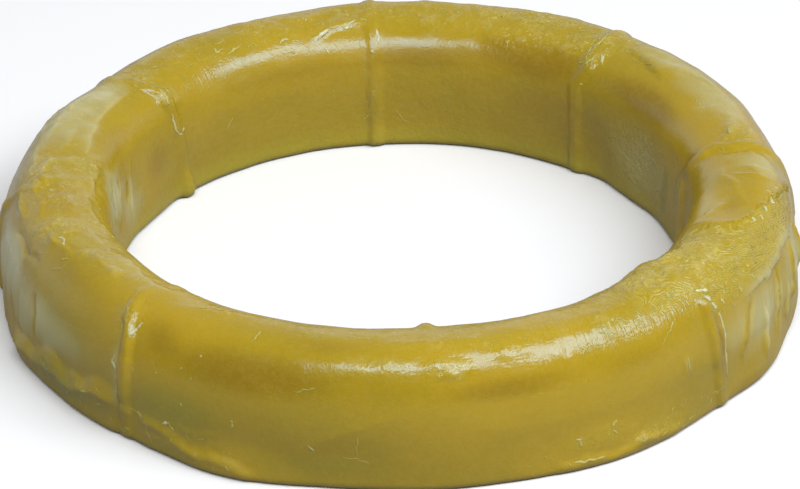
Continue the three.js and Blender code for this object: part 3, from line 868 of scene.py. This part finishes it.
def torn_amount(azimuth, s, ring):
    """1 on the torn crown at the right and 0 off it, with a ragged outer side and a clean end."""
    to_end = round_ring(eased(s, TORN_END), azimuth) + wander(ring, "torn_end")
    to_side = eased(azimuth, TORN_OUTER_SIDE) - s + wander(ring, "torn_side")
    to_start = round_ring(azimuth, TORN_START) + wander(ring, "torn_start")
    crown = ramp(to_side, -0.4, 1.6) * ramp(s, -13.0, -9.0)
    return ramp(to_end, -0.3, 0.5) * ramp(to_start, 0.0, 6.0) * crown


def ripple_phase(azimuth, s, ring):
    """Phase in millimetres of the fine ripples. On the torn crown they follow RIPPLE_LINE, and
    elsewhere they run round the ring. Random wanders bend them into contours."""
    from_line = round_ring(eased(s, RIPPLE_LINE), azimuth)
    near = 1.0 - ramp(np.abs(degrees_apart(azimuth, 62.0)), 24.0, 34.0)
    return near * (0.8 * from_line + 0.2 * s) + (1.0 - near) * s + wander(ring, "ripple_bend")


def torn_relief(azimuth, s, ring):
    """Torn crown: a step down from its clean end, broad wavelets along the ripples, and a crumpled
    skin over all. A lip stands along the end."""
    wavelets = WAVELET_HEIGHT * np.sin(2 * math.pi * ripple_phase(azimuth, s, ring) / WAVELET_SPACING)
    crumple = 0.12 * layered(ring, 3.0, 45) + 0.2 * creased(ring, 4.0, 46)
    from_end = round_ring(eased(s, TORN_END), azimuth)
    lip = np.exp(-(((from_end + TORN_LIP_PLACE) / TORN_LIP_REACH) ** 2)) * band(s, TORN_LIP_STOPS)
    lip *= TORN_LIP_HEIGHT * (np.abs(degrees_apart(azimuth, TORN_MIDDLE)) < 30.0)
    return torn_amount(azimuth, s, ring) * (wavelets + crumple - TORN_DEPTH) + lip


def patches(azimuth, s, table, stray=0.0):
    """Greatest of a table's patches, each a band of azimuths times a band of distances from the
    crown on its own side."""
    return np.maximum.reduce([
        share * band(azimuth, azimuths) * band(side * s, distances, stray)
        for azimuths, side, distances, share in table
    ])


def handled_amount(azimuth, s, ring):
    """1 along the top of the crown, where hands and the wrapper roughened it, and 0 on the smooth
    shoulders, with sides that stray by two or three millimetres."""
    turn = azimuth % FULL_TURN
    stray = wander(ring, "handled_side")
    inside = ramp(s + stray - eased(turn, HANDLED_INNER_SIDE), -1.5, 2.5)
    outside = ramp(eased(turn, HANDLED_OUTER_SIDE) - s + stray, -1.5, 2.5)
    patchy = 0.45 + 0.55 * ramp(wander(ring, "handled_patch"), -0.45, 0.2)
    scuffed = np.minimum(2.0 * spots(azimuth, s, SCUFFS), 1.0)
    return np.maximum(inside * outside * eased(turn, HANDLED_SHARE), scuffed) * patchy


def fine_relief(azimuth, s, ring):
    """Relief of the wax's own skin: a slow wander, creases on the handled crown, a softer turn at
    the top of the bore, and grooves that run down the dragged walls."""
    creases = 0.17 * layered(ring, 4.5, 64) + 0.2 * creased(ring, 6.0, 65)
    knee = KNEE_DEPTH * np.exp(-(((s + KNEE_PLACE) / KNEE_REACH) ** 2))
    downwards = flow(azimuth, s) * (1.0, 1.0, 0.05)
    grooves = creased(downwards, 4.0, 66) ** 3 * ramp(wander(downwards, "groove_patch"), -0.3, 0.3)
    dragged = GROOVE_DEPTH * patches(azimuth, s, DRAGGED) * grooves
    return wander(ring, "skin") + handled_amount(azimuth, s, ring) * creases - knee - dragged


def wax_surface(azimuth, s, lift=0.0):
    """The whole surface: the plain ring moved out by the sum of all its relief, and by lift."""
    ring = on_ring(azimuth, s)
    share = np.where(s > 0.0, s / OUTER_SIDE, s / INNER_SIDE)
    relief = (
        ribs_relief(azimuth, s, ring)
        + spots(azimuth, share, SWELLS)
        + folds(azimuth, s, ring)[0] * (1.05 + wander(ring, "fold_height"))
        + skirts_relief(azimuth, s, ring)
        + torn_relief(azimuth, s, ring)
        + fine_relief(azimuth, s, ring)
    )
    return on_ring(azimuth, s, relief + lift)


def grid_places():
    """Azimuth and s of every vertex. Columns keep a rib's width across each rib and share out each
    field evenly, so that they follow the ribs as these wander. The rows are the section's."""
    line, s_row = section(SECTION_ROWS)
    offsets = np.linspace(-RIB_REACH, RIB_REACH, RIB_COLUMNS + 1)
    columns = []
    for index, steps in enumerate(FIELD_COLUMNS):
        start = rib_azimuth(index, s_row)
        end = rib_azimuth(index + 1, s_row) - np.degrees(RIB_REACH / line[:, 0])
        columns.append(start + np.degrees(offsets[:, None] / line[:, 0]))
        share = np.arange(1, steps)[:, None] / steps
        columns.append(columns[-1][-1] + share * (end - columns[-1][-1]))
    azimuth = np.vstack(columns)
    return azimuth, np.broadcast_to(s_row, azimuth.shape)


def grid_mesh(name, points, faces):
    """Smooth mesh of four-sided faces, from points in millimetres."""
    mesh = bpy.data.meshes.new(name)
    mesh.vertices.add(points.size // 3)
    mesh.vertices.foreach_set("co", (points * MM).astype(np.float32).ravel())
    mesh.loops.add(faces.size)
    mesh.loops.foreach_set("vertex_index", faces.astype(np.int32).ravel())
    mesh.polygons.add(faces.size // 4)
    mesh.polygons.foreach_set("loop_start", np.arange(0, faces.size, 4, dtype=np.int32))
    mesh.polygons.foreach_set("use_smooth", np.ones(faces.size // 4, bool))
    mesh.update(calc_edges=True)
    mesh.validate()
    return mesh


def torus_faces(columns, rows):
    """Faces of a grid that closes on itself both ways, anticlockwise seen from outside."""
    index = np.arange(columns * rows).reshape(columns, rows)
    across, down = np.roll(index, -1, axis=0), np.roll(index, -1, axis=1)
    return np.stack([index, across, np.roll(across, -1, axis=1), down], axis=-1)


def keep_attribute(mesh, name, values):
    """Store one number or one vector for each vertex under a name that the material reads."""
    is_vector = values.size == 3 * len(mesh.vertices)
    attribute = mesh.attributes.new(name, "FLOAT_VECTOR" if is_vector else "FLOAT", "POINT")
    attribute.data.foreach_set("vector" if is_vector else "value", values.astype(np.float32).ravel())


def linear(hex_colour):
    """sRGB hex to linear RGBA."""
    channels = [int(hex_colour[i : i + 2], 16) / 255 for i in (1, 3, 5)]
    return [c / 12.92 if c <= 0.04045 else ((c + 0.055) / 1.055) ** 2.4 for c in channels] + [1.0]


def empty_tree(holder):
    """The node tree of a new material or world, with nothing in it."""
    holder.use_nodes = True
    holder.node_tree.nodes.clear()
    return holder.node_tree


def add_node(tree, kind, *values, inputs=None, out=0, **settings):
    """Add a node with its settings, and return one of its outputs. What goes into it is a value or
    another node's output, in the order of its sockets, or under their names or numbers in inputs."""
    node = tree.nodes.new("ShaderNode" + kind)
    for key, value in settings.items():
        setattr(node, key, value)
    for key, value in {**dict(enumerate(values)), **(inputs or {})}.items():
        if isinstance(value, bpy.types.NodeSocket):
            tree.links.new(value, node.inputs[key])
        else:
            node.inputs[key].default_value = value
    return node.outputs[out] if node.outputs else None


# Settings of the materials' nodes
SMOOTH = {"interpolation_type": "SMOOTHSTEP"}
TIMES = {"operation": "MULTIPLY"}
TIMES_AND_ADD = {"operation": "MULTIPLY_ADD"}
GREATER = {"operation": "MAXIMUM"}
LESS = {"operation": "SUBTRACT"}


def petroleum_wax():
    """Petroleum wax, poured warm into a sectioned mould: soft, olive yellow and faintly see-through,
    so that shade turns amber in it, with a cool satin sheen that is duller where it was handled or
    torn. Its colour also holds painted amber shade, painted reflections, painted sheen on pebbles and
    painted glints."""
    node = functools.partial(add_node, empty_tree(bpy.data.materials.new("petroleum_wax")))
    place = node("TexCoord", out="Object")
    millimetres = node("VectorMath", place, inputs={"Scale": 1.0 / MM}, operation="SCALE")
    unrolled = node("Attribute", attribute_name="flow", out="Vector")
    names = ("torn", "handled", "drag", "chatter", "amber_shade_and_olive", "pale_and_glint", "bloom_and_reflection", "ripple")
    masks = {name: node("Attribute", attribute_name=name, out="Fac") for name in names}
    noises = {}
    for name, (s_share, cell, detail, rough, distortion) in WAX_NOISES.items():
        where = node("VectorMath", unrolled, (1.0, 1.0, s_share), **TIMES) if s_share else millimetres
        inputs = {"Vector": where, "Scale": 1.0 / cell, "Detail": detail, "Roughness": rough}
        noises[name] = node("TexNoise", inputs={**inputs, "Distortion": distortion}, out="Fac")

    # Where the wax is rough, down the bore, pale with bloom, painted reflections and streaks, pebbled with
    # painted sheen, smeared, flecked with painted glints, or rippled with painted crest light
    rough_skin = node("Math", masks["torn"], masks["handled"], **GREATER)
    down = node("SeparateXYZ", unrolled, out="Z")
    bore = node("MapRange", down, -11.0, -15.0, **SMOOTH)
    streaks = node("Math", node("Math", noises["streaks"], 0.5, **LESS), masks["drag"], **TIMES)
    # Pale bloom and painted reflections and highlights, streaked on the dragged walls
    bloom_and_reflection_range = node("Math", masks["bloom_and_reflection"], 1.3, **TIMES)
    bloom_and_reflection = node("Math", streaks, bloom_and_reflection_range, masks["bloom_and_reflection"], **TIMES_AND_ADD)
    # Pebbles of the bore wall: a small bump, and painted sheen in the colour
    pebbles_and_sheen = node("MapRange", noises["pebbles_and_sheen"], 0.42, 0.6, **SMOOTH)
    bloom_and_reflection_share = node("MapRange", bloom_and_reflection, 0.0, 0.6, 0.08, 0.7, **SMOOTH)
    for share in (bore, bloom_and_reflection_share, node("Math", 1.0, masks["drag"], **LESS)):
        pebbles_and_sheen = node("Math", pebbles_and_sheen, share, **TIMES)
    smears = node("MapRange", noises["smears"], 0.52, 0.62, 0.0, 0.22, **SMOOTH)
    # Painted glints: flecks lighter than the handled crown
    glint_flecks = node("MapRange", noises["glint_flecks"], 0.6, 0.68, 0.0, 0.75, **SMOOTH)
    waves = node("Math", masks["ripple"], 2.0 * math.pi / RIPPLE_SPACING, **TIMES)
    waves = node("Math", node("Math", waves, operation="SINE"), 0.5, 0.5, **TIMES_AND_ADD)
    ripple_patches = node("MapRange", noises["ripple_patches"], 0.4, 0.6, 0.05, 1.0, **SMOOTH)
    # Fine ripples of the torn crown, whose crests also carry a painted highlight
    ripples_and_crest_light = node("Math", node("Math", waves, ripple_patches, **TIMES), masks["torn"], **TIMES)

    # Each colour with its share, laid over the ones before
    colour = linear("#A98E12")
    layers = (
        (node("MapRange", noises["cloud"], 0.35, 0.65, **SMOOTH), "#B69615"),
        # Amber painted shade where the tints are over 0, and a darker olive where they are under 0
        (node("MapRange", masks["amber_shade_and_olive"], 0.0, 1.0, 0.0, 0.6, **SMOOTH), "#8E6C12"),
        (node("MapRange", masks["amber_shade_and_olive"], 0.0, -1.0, 0.0, 0.6, **SMOOTH), "#86851C"),
        # Pale bloom, partly painted reflections and highlights
        (node("MapRange", bloom_and_reflection, 0.1, 1.0, 0.0, 0.7, **SMOOTH), "#C2BA80"),
        (node("MapRange", bloom_and_reflection, 0.8, 1.5, 0.0, 0.55, **SMOOTH), "#D6CFA2"),
        (node("Math", rough_skin, 0.5, **TIMES), "#B59C18"),
        # Painted sheen on the pebbles of the bore
        (pebbles_and_sheen, "#B0A45A"),
        (node("MapRange", down, -24.0, -28.0, 0.0, 0.4, **SMOOTH), "#B5AA2C"),
        (node("MapRange", noises["mottle"], 0.35, 0.7, 0.0, 0.12, **SMOOTH), "#C2B04C"),
        (node("Math", smears, masks["handled"], **TIMES), "#CDC283"),
        # Painted glints on the handled crown
        (node("Math", glint_flecks, masks["handled"], **TIMES), "#E0D68C"),
        # Paler slivers, partly painted glints
        (node("MapRange", masks["pale_and_glint"], 0.0, 0.5, 0.0, 0.5, **SMOOTH), "#D8C658"),
        (node("MapRange", masks["pale_and_glint"], 0.5, 1.0, 0.0, 0.8, **SMOOTH), "#E9E2B0"),
        # Painted highlight along the ripple crests of the torn crown
        (node("Math", ripples_and_crest_light, 0.4, **TIMES), "#DCCD5A"),
    )
    for share, tone in layers:
        colour = node("Mix", inputs={0: share, 6: colour, 7: linear(tone)}, out=2, data_type="RGBA")

    # Glossy shoulders, duller walls and rough skin
    in_bore = node("MapRange", down, -8.5, -13.0, **SMOOTH)
    on_wall = node("MapRange", down, 8.5, 14.0, **SMOOTH)
    roughness = node("MapRange", noises["gloss"], 0.3, 0.7, 0.16, 0.24, **SMOOTH)
    roughness = node("Math", rough_skin, 0.06, roughness, **TIMES_AND_ADD)
    roughness = node("Math", node("Math", in_bore, on_wall, **GREATER), 0.2, roughness, **TIMES_AND_ADD)

    # Each fine relief with its height in millimetres and where it is
    height = 0.0
    reliefs = (
        (noises["grain"], 0.045, 1.0),
        (noises["waver"], 0.05, 1.0),
        (ripples_and_crest_light, 0.1, 1.0),
        (noises["crumple"], 0.4, rough_skin),
        (noises["crumbs"], 0.15, rough_skin),
        (noises["bore_grain"], 0.1, bore),
        (pebbles_and_sheen, 0.14, 1.0),
        (noises["chatter_lines"], 0.16, masks["chatter"]),
        (noises["drag_lines"], 0.07, masks["drag"]),
    )
    for pattern, amount, share in reliefs:
        height = node("Math", node("Math", pattern, amount, **TIMES), share, height, **TIMES_AND_ADD)
    bump = node("Bump", inputs={"Height": height, "Distance": MM, "Strength": 1.0})

    shader = node("BsdfPrincipled", inputs={
        "Base Color": colour,
        "Roughness": roughness,
        "Normal": bump,
        "IOR": 1.6,
        "Specular Tint": (0.5, 0.82, 1.0, 1.0),
        "Subsurface Weight": 0.25,
        "Subsurface Radius": (1.0, 0.7, 0.15),
        "Subsurface Scale": 0.002,
    })
    node("OutputMaterial", shader)


def add_piece(mesh, azimuth, s, pale_and_glint):
    """Put a mesh of the ring's wax in the scene, with what the material reads at each place."""
    ring = on_ring(azimuth, s)
    stray_azimuth = azimuth + wander(ring, "bloom_and_reflection_azimuth")
    stray_s = s + wander(ring, "bloom_and_reflection_s")
    # Pale bloom with painted reflections and highlights, and the folds' paleness with its painted glints
    bloom_and_reflection = spots(stray_azimuth, stray_s, BLOOM_AND_REFLECTION_SPOTS) + folds(azimuth, s, ring)[1]
    attributes = {
        "flow": flow(azimuth, s),
        "torn": torn_amount(azimuth, s, ring),
        "handled": handled_amount(azimuth, s, ring),
        "chatter": patches(azimuth, s, CHATTERED, wander(ring, "chatter_side")),
        "drag": patches(azimuth, s, DRAGGED),
        # amber painted shade over 0, and a darker olive under 0
        "amber_shade_and_olive": np.clip(spots(azimuth, s, AMBER_SHADE_AND_OLIVE_TINTS), -1.0, 1.0),
        "bloom_and_reflection": np.clip(bloom_and_reflection, 0.0, 1.5),
        "ripple": ripple_phase(azimuth, s, ring),
        "pale_and_glint": pale_and_glint,
    }
    for name, values in attributes.items():
        keep_attribute(mesh, name, values)
    mesh.materials.append(bpy.data.materials["petroleum_wax"])
    piece = bpy.data.objects.new(mesh.name, mesh)
    bpy.context.scene.collection.objects.link(piece)
    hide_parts(NODE)
    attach(piece, "root")


def wax_ring():
    """The ring: its surface over the whole grid."""
    azimuth, s = grid_places()
    mesh = grid_mesh("wax_ring_skin", wax_surface(azimuth, s), torus_faces(*s.shape))
    add_piece(mesh, azimuth, s, np.zeros(s.shape))


def strokes():
    """Fine strokes as rows like those of SLIVERS: seeded random places, leans, lengths and widths
    within each patch."""
    chance = np.random.default_rng(STROKE_SEED)
    rows = []
    for first, last, low, high, count, lean, length, width in STROKES:
        azimuth = chance.uniform(first, last, count)
        s = chance.uniform(low, high, count)
        angle = np.radians(lean + chance.normal(0.0, STROKE_LEAN_SPREAD, count))
        reach = length * chance.uniform(0.35, 1.3, count)
        across = np.degrees(reach * np.sin(angle) / CROWN_RADIUS)
        down = reach * np.cos(angle)
        thick = width * chance.uniform(0.6, 1.5, count)
        rows.extend(np.stack([thick, azimuth, s, azimuth + across, s + down], axis=1).tolist())
    return rows


def wax_slivers():
    """Slivers and strokes: each a flattened round bar along its line, bent to the skin, thickest in
    the middle, drawn out nearly to a point and closed at both ends, with about a third of it under
    the skin."""
    lines = list(SLIVERS) + strokes()
    station = np.linspace(0.0, 1.0, SLIVER_STATIONS)
    azimuth, s = (
        np.stack([np.interp(station, np.linspace(0, 1, len(line) // 2), line[first::2]) for line in lines])
        for first in (1, 2)
    )
    azimuth += wander(flow(azimuth, s), "sliver_azimuth")
    s += wander(flow(azimuth, s), "sliver_s")
    width = SLIVER_WIDTH_SCALE * np.array([line[0] for line in lines])[:, None]
    round_run = np.gradient(np.radians(azimuth), axis=1) * CROWN_RADIUS
    s_run = np.gradient(s, axis=1)
    run = np.hypot(round_run, s_run)
    half = width / 2 * np.sqrt(np.clip(1.0 - (2.0 * station - 1.0) ** 2, 0.0004, 1.0))
    half = half * (0.85 + wander(flow(azimuth, s), "sliver_width"))
    angle = np.arange(SLIVER_SIDES) / SLIVER_SIDES * 2 * math.pi
    across = half[..., None] * np.cos(angle)
    azimuth = azimuth[..., None] + np.degrees(across * (s_run / run)[..., None] / CROWN_RADIUS)
    s = s[..., None] - across * (round_run / run)[..., None]
    lift = half[..., None] * (SLIVER_THICKNESS * np.sin(angle) + 2 * SLIVER_MIDDLE)
    index = np.arange(s.size).reshape(s.shape)
    ahead = np.roll(index, -1, axis=2)
    sides = np.stack([index[:, :-1], ahead[:, :-1], ahead[:, 1:], index[:, 1:]], axis=-1)
    end = np.array([[0, 1, 2, 3], [0, 3, 4, 7], [4, 5, 6, 7]])
    ends = (index[:, 0, end[:, ::-1]], index[:, -1, end])
    faces = np.vstack([part.reshape(-1, 4) for part in (sides, *ends)])
    # paler wax on the slivers, partly a painted glint
    pale_and_glint = eased(width, SLIVER_PALENESS_AND_GLINT)[..., None] + np.zeros(s.shape)
    add_piece(grid_mesh("wax_slivers", wax_surface(azimuth, s, lift), faces), azimuth, s, pale_and_glint)


def camera():
    """Camera on the line that leaves the target at the azimuth and elevation, rolled about that line."""
    azimuth, elevation, roll = map(math.radians, (CAMERA_AZIMUTH, CAMERA_ELEVATION, CAMERA_ROLL))
    level = Vector((math.sin(azimuth), -math.cos(azimuth), 0.0))
    back = level * math.cos(elevation) + Vector((0.0, 0.0, math.sin(elevation)))
    right = Vector((0.0, 0.0, 1.0)).cross(back).normalized()
    up = back.cross(right)
    target = right * CAMERA_TARGET_RIGHT * MM + Vector((0.0, 0.0, CAMERA_TARGET_HEIGHT * MM))
    turned_right = right * math.cos(roll) + up * math.sin(roll)
    turned_up = up * math.cos(roll) - right * math.sin(roll)
    data = bpy.data.cameras.new("camera")
    data.sensor_width = SENSOR_WIDTH
    data.lens = FOCAL_LENGTH
    data.clip_start, data.clip_end = CAMERA_CLIP
    view = bpy.data.objects.new("camera", data)
    axes = Matrix((turned_right, turned_up, back)).transposed()
    view.matrix_world = Matrix.Translation(target + back * CAMERA_DISTANCE) @ axes.to_4x4()
    bpy.context.scene.collection.objects.link(view)
    bpy.context.scene.camera = view


def softbox():
    """Area lamp that faces the origin as nearly as its long side lets it. That side is level, and
    turned by LAMP_TURN degrees from X."""
    data = bpy.data.lights.new("front_softbox", "AREA")
    data.shape = "RECTANGLE"
    data.size, data.size_y = LAMP_SIZE
    data.energy = LAMP_POWER
    data.color = LAMP_COLOUR
    lamp = bpy.data.objects.new("front_softbox", data)
    place, turn = Vector(LAMP_PLACE), math.radians(LAMP_TURN)
    along = Vector((math.cos(turn), math.sin(turn), 0.0))
    away = (place - along * along.dot(place)).normalized()
    axes = Matrix((along, away.cross(along), away)).transposed()
    lamp.matrix_world = Matrix.Translation(place) @ axes.to_4x4()
    bpy.context.scene.collection.objects.link(lamp)


def floor():
    """Matt white paper that keeps the ring's shadow. It is white to the camera and in reflections,
    and throws back only a little light onto the wax."""
    mesh = bpy.data.meshes.new("floor")
    corners = [(x * FLOOR_HALF, y * FLOOR_HALF, 0.0) for x, y in ((-1, -1), (1, -1), (1, 1), (-1, 1))]
    mesh.from_pydata(corners, [], [(0, 1, 2, 3)])
    material = bpy.data.materials.new("matt_white_paper")
    node = functools.partial(add_node, empty_tree(material))
    camera_ray, glossy_ray, through_ray = (
        node("LightPath", out=f"Is {kind} Ray") for kind in ("Camera", "Glossy", "Transmission")
    )
    seen = node("Math", camera_ray, node("Math", glossy_ray, 0.35, **TIMES), **GREATER)
    seen = node("Math", seen, through_ray, **GREATER)
    tones = {0: seen, 6: linear("#8A8A88"), 7: linear("#FBFAF5")}
    colour = node("Mix", inputs=tones, out=2, data_type="RGBA")
    matt = {"Base Color": colour, "Roughness": 0.9, "Specular IOR Level": 0.0}
    node("OutputMaterial", node("BsdfPrincipled", inputs=matt))
    mesh.materials.append(material)
    plane = bpy.data.objects.new("floor", mesh)
    bpy.context.scene.collection.objects.link(plane)


def studio():
    """Plain studio: pale near the horizon behind the ring, and dim towards the camera and overhead."""
    surround = bpy.data.worlds.new("studio")
    node = functools.partial(add_node, empty_tree(surround))
    direction = node("TexCoord", out="Generated")
    behind = node("MapRange", node("SeparateXYZ", direction, out="Y"), -0.2, 0.5, **SMOOTH)
    low = node("MapRange", node("SeparateXYZ", direction, out="Z"), 0.15, 0.6, 0.7, 0.15, **SMOOTH)
    strength = node("Math", behind, low, 0.15, **TIMES_AND_ADD)
    node("OutputWorld", node("Background", linear("#FFFFFF"), strength))
    bpy.context.scene.world = surround


camera()
petroleum_wax()
wax_ring()
wax_slivers()
floor()
studio()
softbox()
bpy.context.scene.view_settings.view_transform = "Standard"
